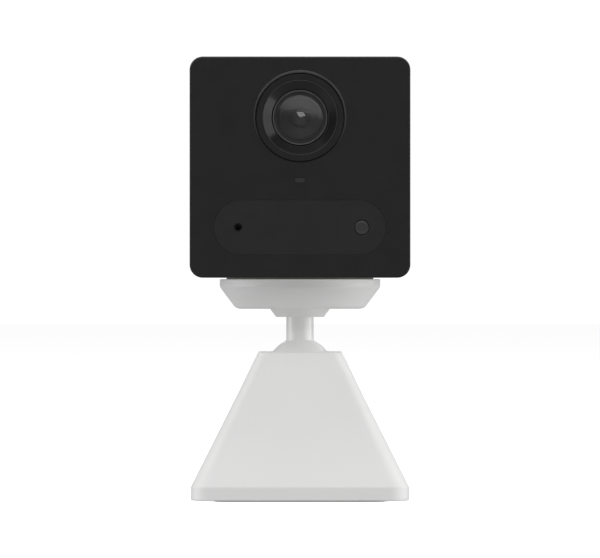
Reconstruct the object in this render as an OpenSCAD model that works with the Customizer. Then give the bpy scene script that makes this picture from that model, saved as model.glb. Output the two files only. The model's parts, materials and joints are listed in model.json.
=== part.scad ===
// Battery security camera on a magnetic ball-joint stand. Millimetres, +Z up, the lens looks along -Y.
// The origin is the centre of the foot, on the surface that the stand rests on.

/* [Stand] */
// Width and depth of the pyramid at its foot
base_w = 49.6; // [48:0.2:52]
// Width and depth of the pyramid's flat top
base_top_w = 19.0; // [18.4:0.2:20]
// Height of the pyramid's flat top above the table
base_top_z = 33.9; // [33.5:0.1:34.5]
// Height of the upright band round the foot, above the table
band_z = 3.5; // [2.8:0.1:4]
// Radius of the pyramid's four slanted corners
base_r = 4.6; // [3.5:0.1:5.5]
// Wall of the pyramid shell
base_wall = 2.0; // [1.8:0.1:2.4]
// Width of the square rubber foot
foot_w = 39.0; // [38.6:0.2:40]
// How far the foot stands below the shell
foot_proud = 0.4; // [0.2:0.1:0.4]
// Distance between the two holes for wall screws
hole_gap = 28; // [26:1:30]

/* [Ball joint] */
// Radius of the ball
ball_r = 7.7; // [7.6:0.1:7.8]
// Height of the ball's centre above the table
ball_z = 29.4; // [29.2:0.1:29.6]
// Radius of the stem
stem_r = 3.14; // [2.9:0.02:3.2]

/* [Magnet cup] */
// Radius of the cup's rim
cup_r = 18.45; // [18.2:0.05:18.8]
// Radius where the cup's cone would meet its flat underside
cup_foot_r = 14.7; // [14:0.1:15.2]
// Height of the cup's underside above the table
cup_z0 = 43.8; // [43.6:0.1:44]
// Height of the cup's rim above the table
cup_z1 = 50.6; // [50.4:0.1:50.6]
// Radius of the rubber grip pad
pad_r = 16.9; // [16:0.1:17]

/* [Head] */
// Width of the camera head
head_w = 50.0; // [49.6:0.2:51]
// Height of the camera head
head_h = 50.1; // [49.9:0.1:50.3]
// Depth of the camera head from face to back
head_d = 50.0; // [49.6:0.2:50.4]
// Radius of the head's four front corners
head_r = 3.0; // [2.5:0.1:3.5]
// Radius of the edges round the head's back
back_r = 3.0; // [2:0.1:3]
// Wall of the head's two housings
head_wall = 1.8; // [1.6:0.1:1.8]
// Depth of the dark front cover along the sides
cover_d = 3.5; // [3:0.1:4]

/* [Face] */
// Height of the lens axis above the head's underside
lens_up = 36.3; // [36:0.1:36.6]
// Radius of the flat trim ring round the lens
bezel_r = 10.05; // [9.95:0.05:10.15]
// Length of the pill-shaped sensor window
pill_w = 39.0; // [38:0.2:39.4]
// Height of the pill-shaped sensor window
pill_h = 12.3; // [12:0.1:12.6]
// Height of the window's middle above the head's underside
pill_up = 11.4; // [11.2:0.1:11.6]
// Distance of the microphone and the motion sensor from the middle
sensor_x = 14.0; // [13.8:0.1:14.2]

/* [Hidden] */

$fn = 64;
gap = 0.1;          // general clearance between fitted parts
run = 0.05;         // running clearance of the ball and the buttons

// Colours
white = "#e4e4e2";
black = "#262626";
dark = "#3b3a36";
steel = "#b9bcc0";
board_green = "#1f5a3c";
copper = "#b8804a";

// Stand
band_z0 = foot_proud;                       // underside of the shell
base_slope = (base_w - base_top_w) / 2 / (base_top_z - band_z);
slant = atan(base_slope * sqrt(2));          // lean of a slanted corner
slant_w = asin(sqrt((1 + 2 * pow(base_slope, 2)) / (2 + 2 * pow(base_slope, 2))));
cavity_z1 = 26;
plate_t = 2.0;                              // base plate
plate_w = base_w - 2 * base_wall - 0.2;
plate_r = base_r - base_wall - 0.1;
bead_z = band_z0 + 0.8;                     // the plate snaps in on a bead round its rim
bead_h = 0.6;
bead_d = 0.35;
foot_t = 0.9;
foot_r = 3.0;
hole_r = 2.1;                               // wall screws
hole_sink_r = 3.9;
hole_boss_r = 5.0;
hole_boss_z = 4.0;
foot_hole_r = 4.6;
ballast_z0 = 6.8;
ballast_t = 5.6;
ballast_w = 33.0;
retainer_t = 1.6;
retainer_z = ballast_z0 + ballast_t + retainer_t;    // top face of the spring retainer
boss_xy = 11.5;                             // screws through ballast and retainer
boss_r = 2.5;
boss_z1 = 23.0;
pilot_r = 0.9;

// Ball joint
socket_r = ball_r + run;
socket_tube_r = 10.0;
seat_bore_r = 8.2;
seat_r = seat_bore_r - run;
seat_z0 = 20.4;
seat_z1 = ball_z - 2.4;
spring_r = 5.2;                             // middle of the wire
spring_wire_r = 0.6;
spring_turns = 4;

// Stem and cup
collar_z0 = 41.9;
collar_r0 = 5.75;
collar_r1 = 6.9;
rim_z = 48.8;                               // where the cup's cone meets its rim
cup_round = 2.0;                            // rounding under the cup
pad_t = 1.1;
pad_z1 = cup_z1 + 0.3;                      // the head rests here
cup_well_r = 15.2;
cup_well_z = cup_z0 + 1.6;
magnet_r = 14.9;
yoke_t = 1.2;
magnet_t = 2.8;

// Head
head_z0 = pad_z1;
head_mid = head_z0 + head_h / 2;
head_z1 = head_z0 + head_h;
face_y = -head_d / 2;
back_y = head_d / 2;
cover_t = 1.6;                              // plate of the front cover
split_y = face_y + cover_d;                 // where the dark cover meets the pale housing
inner_w = head_w - 2 * head_wall;
inner_h = head_h - 2 * head_wall;
inner_r = head_r - head_wall;
lip_t = 1.0;
lip_d = 2.5;
lens_z = head_z0 + lens_up;
pill_z = head_z0 + pill_up;
status_z = head_z0 + 22.1;
front_r = 0.4;                              // rounding of the face's edges
brow_r = bezel_r + 0.4;                     // the raised brow over the trim ring, where it meets the face
brow_up = 0.25;                             // how far the brow's circle sits above the lens axis
bezel_hole_r = bezel_r + 0.15;
face_p = head_d / 2;                        // the face in the lens parts' own forward distance
boss_x = 19.6;                              // front cover bosses
boss_z = 19.6;

// Boards and cells inside the head
front_board_y = -20.4;
sensor_board_y = -6.0;
chassis_y = -3.0;
chassis_t = 1.6;
battery_y = 0.4;
battery_size = [36, 10, 36];
battery_z0 = head_z0 + 7.4;
main_board_y = 11.0;
board_t = 1.2;
post_x = 20.3;

// Back of the head
bay_w = 23.0;
bay_h = 10.5;
bay_z0 = head_z0 + 3.7;
bay_depth = 1.3;
bay_r = 1.6;
usb_x = -5.2;
usb_z = bay_z0 + 7.0;
reset_x = 5.6;
card_z = bay_z0 + 2.1;
button_z = head_z0 + 21.6;
button_r = 4.4;
button_travel = 0.5;
button_proud = 0.6;
switch_tip_y = main_board_y + board_t + 6.6;
reset_travel = 0.3;
reset_tip_y = main_board_y + board_t + 5.0;
hinge_r = 0.575;                            // half the port cover's thickness
hinge_y = back_y - hinge_r;
hinge_z = bay_z0 + 0.15 + hinge_r;
pin_r = 0.35;
speaker_z = head_z0 + 36.2;
speaker_r = 8.8;
grille_rings = 4;
grille_step = 1.9;
grille_hole_r = 0.5;

// ---- helpers ----

// A rectangle with true round corners.
module rrect(w, h, r) {
    square([w - 2 * r, h], center = true);
    square([w, h - 2 * r], center = true);
    for (x = [-1, 1], y = [-1, 1])
        translate([x * (w / 2 - r), y * (h / 2 - r)]) circle(r);
}

// A rectangle whose upper corners are round, the outline of the port bay and its cover.
module bay_outline(w, h, r) {
    rrect(w, h, r);
    translate([0, -h / 4]) square([w, h / 2], center = true);
}

// A stadium, lying along X.
module pill(w, h) {
    square([w - h, h], center = true);
    for (x = [-1, 1]) translate([x * (w - h) / 2, 0]) circle(h / 2);
}

// Extrudes a drawing in X and Z from depth y0 back to y1.
module along_y(y0, y1) {
    translate([0, y1, 0]) rotate([90, 0, 0]) linear_extrude(y1 - y0) children();
}

// A rod along Y.
module rod_y(x, z, r, y0, y1) {
    translate([x, y1, z]) rotate([90, 0, 0]) cylinder(r = r, h = y1 - y0);
}

// A rod along X.
module rod_x(y, z, r, x0, x1) {
    translate([x0, y, z]) rotate([0, 90, 0]) cylinder(r = r, h = x1 - x0);
}

// A block from its lowest to its highest corner.
module block(lo, hi) {
    translate(lo) cube(hi - lo);
}

// Turns a profile of [radius, forward distance] about the lens axis.
module lens_turned(points) {
    translate([0, 0, lens_z]) rotate([90, 0, 0]) rotate_extrude() polygon(points);
}

// Points on an arc about [cx, cy] from angle a0 to a1.
function arc(cx, cy, r, a0, a1, n = 8) =
    [for (i = [0 : n]) let (a = a0 + (a1 - a0) * i / n) [cx + r * cos(a), cy + r * sin(a)]];

// Half the pyramid's width at a height, along its slanted sides.
function base_half(z) = base_w / 2 - (z - band_z) * base_slope;

// The pyramid with sharp slanted corners, drawn inset from its outer surface between two heights.
module sharp_pyramid(inset, band_inset, z0, z1) {
    intersection() {
        translate([0, 0, z0]) linear_extrude(z1 - z0)
            rrect(base_w - 2 * band_inset, base_w - 2 * band_inset, base_r - band_inset);
        for_both_ways() along_y(-base_w, base_w) polygon([
            [base_half(z0 - 1) - inset, z0 - 1], [base_half(z1 + 1) - inset, z1 + 1],
            [inset - base_half(z1 + 1), z1 + 1], [inset - base_half(z0 - 1), z0 - 1]]);
    }
}

// The overlap of a shape and the same shape turned by a quarter.
module for_both_ways() {
    intersection() {
        children();
        rotate(90) children();
    }
}

// What is cut away along the four slanted corners to round them.
module slanted_corner_cutters(r) {
    lean = 90 - slant_w;
    edge = [-r / tan(slant_w) * sin(lean), r * sin(lean)];
    soft = lean - 5;
    arc_r = edge[1] / sin(soft);
    for (a = [45, 135, 225, 315]) rotate(a) translate([base_half(0) * sqrt(2), 0, 0]) rotate([0, -slant, 0])
        translate([0, 0, -4]) linear_extrude(60) difference() {
            polygon([edge, edge + [5, 3], [edge[0] + 5, -edge[1] - 3], [edge[0], -edge[1]]]);
            translate([edge[0] - arc_r * cos(soft), 0]) circle(arc_r);
        }
}

// A tube that follows points, closed at both ends, as one polyhedron.
function unit(v) = v / norm(v);
function heading(p, i) = unit(p[min(i + 1, len(p) - 1)] - p[max(i - 1, 0)]);
module tube(p, r, sides = 8) {
    side = [for (i = [0 : len(p) - 1]) let (h = heading(p, i), up = abs(h[2]) > 0.9 ? [1, 0, 0] : [0, 0, 1])
        unit(cross(h, up))];
    over = [for (i = [0 : len(p) - 1]) cross(side[i], heading(p, i))];
    ring_points = [for (i = [0 : len(p) - 1], k = [0 : sides - 1])
        p[i] + r * (cos(360 * k / sides) * side[i] + sin(360 * k / sides) * over[i])];
    walls = [for (i = [0 : len(p) - 2], k = [0 : sides - 1]) let (n = (k + 1) % sides)
        [i * sides + k, i * sides + n, (i + 1) * sides + n, (i + 1) * sides + k]];
    caps = [[for (k = [sides - 1 : -1 : 0]) k], [for (k = [0 : sides - 1]) (len(p) - 1) * sides + k]];
    polyhedron(points = ring_points, faces = concat(walls, caps));
}

// A cross-head screw along +Z: its head sits on z = 0 and its shank points down.
module screw(shank, head_r = 1.8, head_h = 1.2, shank_r = 0.85) {
    difference() {
        union() {
            cylinder(r = head_r, h = head_h);
            translate([0, 0, -shank]) cylinder(r = shank_r, h = shank);
        }
        for (a = [0, 90])
            rotate(a) translate([0, 0, head_h]) cube([head_r * 1.2, 0.45, 1.2], center = true);
    }
}

// ---- stand ----

module base_shell() color(white) {
    difference() {
        union() {
            difference() {
                sharp_pyramid(0, 0, band_z0, base_top_z);
                slanted_corner_cutters(base_r - 0.4);
                sharp_pyramid(base_wall * 1.12, base_wall, band_z0 - 1, cavity_z1);
            }
            translate([0, 0, 20]) cylinder(r = socket_tube_r, h = cavity_z1 - 20 + 1);
            for (x = [-1, 1], y = [-1, 1])
                translate([x * boss_xy, y * boss_xy, retainer_z])
                    cylinder(r = boss_r, h = boss_z1 - retainer_z);
        }
        translate([0, 0, ball_z]) sphere(socket_r);
        translate([0, 0, 10]) cylinder(r = seat_bore_r, h = ball_z - 10);
        translate([0, 0, bead_z - 0.1]) linear_extrude(bead_h + 0.2)
            rrect(plate_w + 2 * bead_d + 0.4, plate_w + 2 * bead_d + 0.4, plate_r + bead_d + 0.2);
        for (x = [-1, 1], y = [-1, 1])
            translate([x * boss_xy, y * boss_xy, retainer_z - 1]) cylinder(r = pilot_r, h = 7);
    }
}

module base_plate() color(white) {
    difference() {
        union() {
            translate([0, 0, band_z0]) linear_extrude(plate_t) rrect(plate_w, plate_w, plate_r);
            translate([0, 0, bead_z]) linear_extrude(bead_h)
                rrect(plate_w + 2 * bead_d, plate_w + 2 * bead_d, plate_r + bead_d);
            for (x = [-1, 1]) translate([x * hole_gap / 2, 0, band_z0 + 1])
                cylinder(r = hole_boss_r, h = hole_boss_z - band_z0 - 1);
        }
        translate([0, 0, band_z0 - 1]) linear_extrude(1 + foot_t - foot_proud)
            rrect(foot_w + 2 * gap, foot_w + 2 * gap, foot_r + gap);
        for (x = [-1, 1]) translate([x * hole_gap / 2, 0, 0]) {
            cylinder(r = hole_r, h = 6);
            translate([0, 0, hole_boss_z - 1.2]) cylinder(r1 = hole_r, r2 = hole_sink_r, h = 1.21);
        }
    }
}

module foot_pad() color(dark) {
    difference() {
        linear_extrude(foot_t) rrect(foot_w, foot_w, foot_r);
        for (x = [-1, 1]) translate([x * hole_gap / 2, 0, -1]) cylinder(r = foot_hole_r, h = 3);
    }
}

module ballast_plate() color(steel) {
    difference() {
        translate([0, 0, ballast_z0]) linear_extrude(ballast_t) rrect(ballast_w, ballast_w, 4);
        for (x = [-1, 1], y = [-1, 1]) translate([x * boss_xy, y * boss_xy, ballast_z0 - 1]) {
            cylinder(r = 1.1, h = ballast_t + 2);
            cylinder(r = 2.1, h = 2.4);
        }
    }
}

module spring_retainer() color(black) {
    difference() {
        union() {
            translate([0, 0, retainer_z - retainer_t]) linear_extrude(retainer_t) rrect(28.5, 28.5, 3);
            translate([0, 0, retainer_z]) cylinder(r = 4.2, h = 1.4);
        }
        translate([0, 0, retainer_z - 3]) cylinder(r = 2.4, h = 6);
        for (x = [-1, 1], y = [-1, 1])
            translate([x * boss_xy, y * boss_xy, retainer_z - 3]) cylinder(r = 1.1, h = 6);
    }
}

module seat_spring() color(steel) {
    low = retainer_z + spring_wire_r + 0.02;
    high = seat_z0 - spring_wire_r - 0.02;
    steps = 16;
    tube([for (i = [0 : spring_turns * steps]) let (a = 360 * i / steps, t = i / steps / spring_turns)
        [spring_r * cos(a), spring_r * sin(a), low + (high - low) * t]], spring_wire_r, 6);
}

module base_screws() color(steel) {
    for (x = [-1, 1], y = [-1, 1]) translate([x * boss_xy, y * boss_xy, ballast_z0 + 1.4])
        rotate([180, 0, 0]) screw(10.5);
}

module ball_seat() color(dark) {
    difference() {
        translate([0, 0, seat_z0]) cylinder(r = seat_r, h = seat_z1 - seat_z0);
        translate([0, 0, ball_z]) sphere(socket_r);
        translate([0, 0, seat_z0 - 1]) cylinder(r = 2.6, h = 6);
    }
}

// ---- stem and magnet cup ----

module ball_stud() color(white) {
    difference() {
        union() {
            translate([0, 0, ball_z]) sphere(ball_r);
            translate([0, 0, ball_z]) cylinder(r = stem_r, h = cup_z0 - ball_z);
        }
        translate([0, 0, cup_z0 - 9]) cylinder(r = 1.25, h = 10);
    }
}

module stem_collar() color(white) {
    difference() {
        translate([0, 0, collar_z0]) rotate_extrude() polygon(concat(
            [[0, 0], [collar_r0 - 0.4, 0]],
            arc(collar_r0 - 0.35, 0.35, 0.35, -90, -25, 5),
            [[collar_r1, cup_z0 - collar_z0], [0, cup_z0 - collar_z0]]));
        translate([0, 0, collar_z0 - 1]) cylinder(r = stem_r, h = 4);
    }
}

// Half the turn between the cup's cone and its flat underside, where the rounding goes.
cup_lean = atan2(cup_r - cup_foot_r, rim_z - cup_z0);
cup_tangent = cup_round * tan((90 - cup_lean) / 2);

module magnet_cup() color(white) {
    difference() {
        rotate_extrude() polygon(concat(
            [[0, cup_z0]],
            arc(cup_foot_r - cup_tangent, cup_z0 + cup_round, cup_round, -90, -cup_lean, 10),
            [[cup_r - 0.06, rim_z - 0.1], [cup_r, rim_z + 0.1]],
            arc(cup_r - 0.4, cup_z1 - 0.4, 0.4, 0, 90, 6),
            [[0, cup_z1]]));
        translate([0, 0, pad_z1 - pad_t]) cylinder(r = pad_r + gap, h = 3);
        translate([0, 0, cup_well_z]) cylinder(r = cup_well_r, h = 6);
        translate([0, 0, cup_z0 - 1]) cylinder(r = 1.4, h = 6);
    }
}

module magnet_yoke() color(steel) {
    difference() {
        translate([0, 0, cup_well_z]) cylinder(r = magnet_r, h = yoke_t);
        translate([0, 0, cup_well_z - 1]) cylinder(r = 1.4, h = 4);
    }
}

module magnet_ring() color("#d0d2d4") {
    difference() {
        translate([0, 0, cup_well_z + yoke_t]) cylinder(r = magnet_r, h = magnet_t);
        translate([0, 0, cup_well_z]) cylinder(r = 3.2, h = 8);
    }
}

module cup_screw() color(steel) {
    translate([0, 0, cup_well_z + yoke_t]) screw(9, head_r = 2.6, head_h = 1.5, shank_r = 1.2);
}

module grip_pad() color(dark) {
    translate([0, 0, pad_z1 - pad_t]) rotate_extrude() polygon(concat(
        [[0, 0], [pad_r, 0]], arc(pad_r - 0.15, pad_t - 0.15, 0.15, 0, 90, 4), [[0, pad_t]]));
}

// ---- head: housings ----

module front_cover() color(black) {
    difference() {
        union() {
            difference() {
                union() {
                    head_block(face_y, split_y, front_r, 0.15);
                    translate([0, face_y + 0.1, lens_z + brow_up]) rotate([90, 0, 0])
                        cylinder(r1 = brow_r + 0.1, r2 = brow_r - 0.9, h = 1.1);
                }
                along_y(face_y + cover_t, split_y + 1)
                    translate([0, head_mid]) rrect(inner_w, inner_h, inner_r);
            }
            difference() {
                along_y(face_y + cover_t - 0.2, split_y + lip_d) translate([0, head_mid])
                    rrect(inner_w - gap, inner_h - gap, inner_r);
                along_y(face_y + cover_t - 1, split_y + lip_d + 1) translate([0, head_mid])
                    rrect(inner_w - gap - 2 * lip_t, inner_h - gap - 2 * lip_t, 0.6);
            }
            for (x = [-1, 1], z = [-1, 1])
                rod_y(x * boss_x, head_mid + z * boss_z, 2.3, face_y + cover_t - 0.2, chassis_y);
            for (x = [-1, 1]) rod_y(x * 11.5, head_z0 + 5.0, 1.8, face_y + cover_t - 0.2, front_board_y);
        }
        rod_y(0, lens_z, bezel_hole_r, face_y - 2, face_y + cover_t + 1);
        along_y(face_y - 1, face_y + 0.65) translate([0, pill_z]) pill(pill_w + 2 * gap, pill_h + 2 * gap);
        along_y(face_y - 1, face_y + cover_t + 1) translate([0, status_z]) pill(2.6, 1.3);
        for (x = [-7, 7]) rod_y(x, pill_z, 2.6, face_y, face_y + cover_t + 1);
        rod_y(sensor_x, pill_z, 2.5, face_y, face_y + cover_t + 1);
        rod_y(-sensor_x, pill_z, 0.95, face_y, face_y + cover_t + 1);
        for (x = [-1, 1], z = [-1, 1])
            rod_y(x * boss_x, head_mid + z * boss_z, 0.9, chassis_y - 8, chassis_y + 1);
        for (x = [-1, 1]) rod_y(x * 11.5, head_z0 + 5.0, 0.75, face_y + cover_t + 0.2, front_board_y + 1);
    }
}

// A stretch of the head between two depths, with round edges at its front and its back.
module head_block(y0, y1, front, back) {
    intersection() {
        along_y(y0, y1) translate([0, head_mid]) rrect(head_w, head_h, head_r);
        translate([-head_w, 0, head_z0]) rotate([90, 0, 90]) linear_extrude(2 * head_w)
            end_rounded(y0, y1, head_h, front, back);
        translate([head_w / 2, 0, 0]) rotate(90) linear_extrude(2 * head_z1)
            end_rounded(y0, y1, head_w, front, back);
    }
}

// A rectangle from y0 to y1 and from 0 to h, with one radius at its y0 corners and one at its y1 corners.
module end_rounded(y0, y1, h, front, back) {
    translate([y0 + front, 0]) square([y1 - y0 - front - back, h]);
    translate([y0, front]) square([2 * front + 0.01, h - 2 * front]);
    translate([y1 - 2 * back - 0.01, back]) square([2 * back + 0.01, h - 2 * back]);
    for (z = [front, h - front]) translate([y0 + front, z]) circle(front);
    for (z = [back, h - back]) translate([y1 - back, z]) circle(back);
}

module rear_housing() color(white) {
    difference() {
        head_block(split_y, back_y, 0.15, back_r);
        along_y(split_y - 1, back_y - head_wall) translate([0, head_mid]) rrect(inner_w, inner_h, inner_r);
        // speaker grille
        rod_y(0, speaker_z, grille_hole_r, back_y - 5, back_y + 1);
        for (ring = [1 : grille_rings], k = [0 : 6 * ring - 1])
            rod_y(ring * grille_step * cos(60 * k / ring),
                speaker_z + ring * grille_step * sin(60 * k / ring), grille_hole_r, back_y - 5, back_y + 1);
        // power button
        rod_y(0, button_z, button_r + run, back_y - 5, back_y + 1);
        // port bay and its windows
        along_y(back_y - bay_depth, back_y + 1) translate([0, bay_z0 + bay_h / 2])
            bay_outline(bay_w, bay_h, bay_r);
        along_y(back_y - 5, back_y) translate([usb_x, usb_z]) pill(9.6, 3.6);
        along_y(back_y - 5, back_y) translate([0.5, card_z]) square([12, 1.3], center = true);
        rod_y(reset_x, usb_z, 1.1 + run, back_y - 5, back_y);
        rod_x(hinge_y, hinge_z, pin_r + run, -bay_w / 2 - 0.8, bay_w / 2 + 0.8);
    }
    for (x = [-1, 1]) translate([x * 12, 13, head_z0 + head_wall - 0.5]) cylinder(r = 1.1, h = 2.1);
}

// ---- head: lens ----

module lens_bezel() color(black) {
    top = face_p + 0.3;
    lens_turned(concat(
        [[8.55, face_p - 2.4], [bezel_r, face_p - 2.4]],
        arc(bezel_r - 0.15, top - 0.15, 0.15, 0, 90, 5),
        arc(8.65, top - 0.1, 0.1, 90, 180, 4)));
}

module lens_hood() color(black) {
    intersection() {
        lens_turned([[6.35, face_p - 3.4], [12.5, face_p - 3.4], [12.5, face_p - cover_t],
            [bezel_hole_r, face_p - cover_t], [bezel_hole_r, face_p - 2.5], [8.5, face_p - 2.5],
            [8.5, face_p + 0.26], [8.42, face_p + 0.32], [8.34, face_p + 0.26], [6.42, face_p - 0.9],
            [6.35, face_p - 1.0]]);
        block([-14, -face_p - 1, lens_z - 14], [14, 0, lens_z + 10.8]);
    }
}

module lens_barrel() color(black) {
    lens_turned([[5.6, 18.0], [5.5, 17.9], [5.5, 10.1], [4.2, 10.1], [3.6, 12.0], [3.6, 14.0], [3.05, 14.1],
        [3.05, 19.6], [4.6, 19.7], [5.45, 19.8], [5.45, 23.0], [5.92, 23.0], [5.92, 24.0], [6.02, 24.14],
        [6.1, 24.14], [6.2, 24.0], [6.2, 18.2], [5.6, 18.2]]);
}

module lens_retaining_ring() color(black) {
    lens_turned([[5.45, 23.02], [5.9, 23.02], [5.9, 23.5], [5.84, 23.56], [5.26, 23.56], [5.18, 23.48],
        [5.18, 23.22]]);
}

// A lens element: a disc whose front is a dome and whose back is flat.
module dome(rim_r, rim_p0, rim_p1, apex_p) {
    sag = apex_p - rim_p1;
    r = (rim_r * rim_r + sag * sag) / 2 / sag;
    span = asin(rim_r / r);
    lens_turned(concat([[0, rim_p0], [rim_r, rim_p0]],
        [for (i = [0 : 20])
            let (a = span * (1 - i / 20))
            [i == 20 ? 0 : r * sin(a), apex_p - r + r * cos(a)]]));
}

module front_lens() color([0.3, 0.3, 0.35]) {
    difference() {
        dome(5.4, 21.8, 23.0, 24.4);
        translate([0, -17.4, lens_z]) sphere(5.6);
    }
}

module lens_baffle() color(black) {
    lens_turned([
        [2.4, 19.95], [5.4, 19.95], [5.4, 21.75], [4.5, 21.75], [4.4, 21.3],
        [3.9, 21.3], [3.8, 20.9], [3.3, 20.9], [3.2, 20.5], [2.6, 20.5]]);
}

module inner_lens() color([0.3, 0.3, 0.35]) dome(3.0, 16.4, 17.4, 18.9);

module rear_lens() color([0.3, 0.3, 0.35]) dome(3.5, 12.1, 12.9, 13.8);

module lens_holder() color(black) {
    difference() {
        union() {
            along_y(-14, sensor_board_y) translate([0, lens_z]) rrect(21, 15, 1.5);
            rod_y(0, lens_z, 7.6, -17.8, -14);
        }
        rod_y(0, lens_z, 5.55, -19, -10);
        rod_y(0, lens_z, 3.2, -11, -6.5);
        block([-9.2, -9.8, lens_z - 4.2], [9.2, -8.6, lens_z + 4.2]);
        block([-4.6, -7.4, lens_z - 4.6], [4.6, -5, lens_z + 4.6]);
        for (s = [-1, 1]) rod_y(s * 8.6, lens_z + s * 5.6, 0.75, -8.4, -5);
    }
}

// The two-window slider that puts the infrared filter in front of the sensor or clears it.
module filter_frame() color(dark) {
    difference() {
        block([-9.0, -9.7, lens_z - 4.0], [3.4, -8.7, lens_z + 4.0]);
        for (x = [-5.6, 0]) block([x - 2.4, -10, lens_z - 2.6], [x + 2.4, -8, lens_z + 2.6]);
    }
}

module filter_glass() color([0.45, 0.6, 0.7]) {
    for (x = [-5.6, 0]) block([x - 2.4, -9.4, lens_z - 2.6], [x + 2.4, -9.0, lens_z + 2.6]);
}

module image_sensor() color("#2c2c30") {
    block([-4, sensor_board_y - 1.0, lens_z - 4], [4, sensor_board_y, lens_z + 4]);
}

module sensor_board() color(board_green) {
    difference() {
        along_y(sensor_board_y, sensor_board_y + 1) translate([0, lens_z]) rrect(22, 18, 1);
        for (s = [-1, 1]) rod_y(s * 8.6, lens_z + s * 5.6, 1.0, -7, -4);
    }
}

// ---- head: behind the face ----

module sensor_window() color("#2b2b2c") {
    difference() {
        along_y(face_y + 0.05, face_y + 0.65) translate([0, pill_z]) pill(pill_w, pill_h);
        rod_y(-sensor_x, pill_z, 0.95, face_y - 1, face_y + 1);
        rod_y(sensor_x, pill_z, 1.72, face_y - 1, face_y + 1);
    }
}

module motion_sensor_lens() color("#303032") {
    translate([sensor_x, 0, pill_z]) rotate([90, 0, 0]) rotate_extrude() polygon(concat(
        [[0, face_p - 1.5], [2.4, face_p - 1.5], [2.4, face_p - 0.7], [1.54, face_p - 0.7],
            [1.54, face_p - 0.2]],
        arc(1.34, face_p - 0.22, 0.2, 0, 80, 5), [[0.7, face_p + 0.02], [0, face_p + 0.04]]));
}

module motion_sensor() color(steel) {
    rod_y(sensor_x, pill_z, 2.3, -22.9, front_board_y - 0.4);
    rod_y(sensor_x, pill_z, 2.6, front_board_y - 0.4, front_board_y);
}

module infrared_leds() color([0.7, 0.7, 0.75]) {
    for (x = [-7, 7]) {
        rod_y(x, pill_z, 1.5, -22.4, front_board_y);
        translate([x, -22.4, pill_z]) sphere(1.5);
    }
}

module microphone() color(copper) {
    block([-sensor_x - 1.75, front_board_y - 1, pill_z - 1.3],
        [-sensor_x + 1.75, front_board_y, pill_z + 1.3]);
}

module microphone_gasket() color(dark) {
    difference() {
        rod_y(-sensor_x, pill_z, 1.9, face_y + cover_t, front_board_y - 1);
        rod_y(-sensor_x, pill_z, 0.6, face_y, front_board_y);
    }
}

module status_light_guide() color("#3c3c40") {
    along_y(face_y + 0.05, face_y + cover_t) translate([0, status_z]) pill(2.4, 1.1);
    along_y(face_y + cover_t, front_board_y - 0.9) translate([0, status_z]) pill(3.4, 2.1);
}

module status_led() color("#f0efe0") {
    block([-0.8, front_board_y - 0.8, status_z - 0.5], [0.8, front_board_y, status_z + 0.5]);
}

module front_board() color(board_green) {
    difference() {
        union() {
            block([-16.5, front_board_y, head_z0 + 3.4], [16.5, front_board_y + 1, head_z0 + 18.6]);
            block([-4, front_board_y, head_z0 + 18], [4, front_board_y + 1, head_z0 + 24.4]);
        }
        for (x = [-1, 1]) rod_y(x * 11.5, head_z0 + 5.0, 0.9, front_board_y - 1, front_board_y + 2);
    }
}

// ---- head: chassis, battery and boards ----

module chassis() color("#55585a") {
    y1 = chassis_y + chassis_t;
    difference() {
        union() {
            along_y(chassis_y, y1) translate([0, head_mid]) rrect(44.4, 44.4, 2);
            for (x = [-1, 1], z = [-8, 12]) rod_y(x * post_x, head_mid + z, 1.9, y1, main_board_y);
            for (s = [-1, 1]) rod_y(s * 8.6, lens_z + s * 5.6, 1.7, sensor_board_y + 1, chassis_y);
            for (z = [battery_z0 - 1.1, battery_z0 + battery_size[2] + 0.1])
                block([-15, y1, z], [15, y1 + 5, z + 1]);
        }
        for (x = [-1, 1], z = [-1, 1])
            rod_y(x * boss_x, head_mid + z * boss_z, 1.1, chassis_y - 1, y1 + 1);
        for (x = [-1, 1], z = [-8, 12]) rod_y(x * post_x, head_mid + z, 0.9, 4, main_board_y + 1);
        for (s = [-1, 1]) rod_y(s * 8.6, lens_z + s * 5.6, 1.0, -6, y1 + 1);
        block([-5, chassis_y - 1, head_mid + 19.6], [5.2, y1 + 1, head_mid + 24]);
    }
}

module battery() color("#c9ccd2") {
    translate([0, battery_y, battery_z0 + battery_size[2] / 2]) difference() {
        translate([0, battery_size[1], 0]) rotate([90, 0, 0]) linear_extrude(battery_size[1])
            rrect(battery_size[0], battery_size[2], 1.5);
        for (x = [-1, 1]) translate([x * 19, 5, 0]) cube([3, 3, 60], center = true);
    }
}

module battery_lead() color("#b03030") {
    top = battery_z0 + battery_size[2];
    for (x = [-9, -7.2]) tube([[x, 5, top], [x, 5, top + 1.2], [x, 5.6, top + 2.2], [x, 7, top + 2.9],
        [x, 9.5, top + 3.3], [x, 12, top + 3.4], [x, 13.8, top + 3.2], [x, 14.9, top + 2.2], [x, 15, top + 1],
        [x, 14.5, top - 0.4], [x, 14.4, top - 0.9], [x, 14.4, top - 1.4]], 0.55);
}

module main_board() color(board_green) {
    difference() {
        along_y(main_board_y, main_board_y + board_t) translate([0, head_mid]) rrect(43, 42, 1.5);
        for (x = [-1, 1], z = [-8, 12])
            rod_y(x * post_x, head_mid + z, 1.0, main_board_y - 1, main_board_y + 3);
        block([-7, main_board_y - 1, head_z0], [8.2, main_board_y + 3, card_z + 1.4]);
    }
}

module shield_can() color(steel) {
    y0 = main_board_y + board_t;
    difference() {
        along_y(y0, y0 + 1.8) translate([-12, head_mid - 4]) rrect(13, 12, 0.8);
        along_y(y0 - 1, y0 + 1.6) translate([-12, head_mid - 4]) rrect(12.6, 11.6, 0.6);
    }
}

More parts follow.
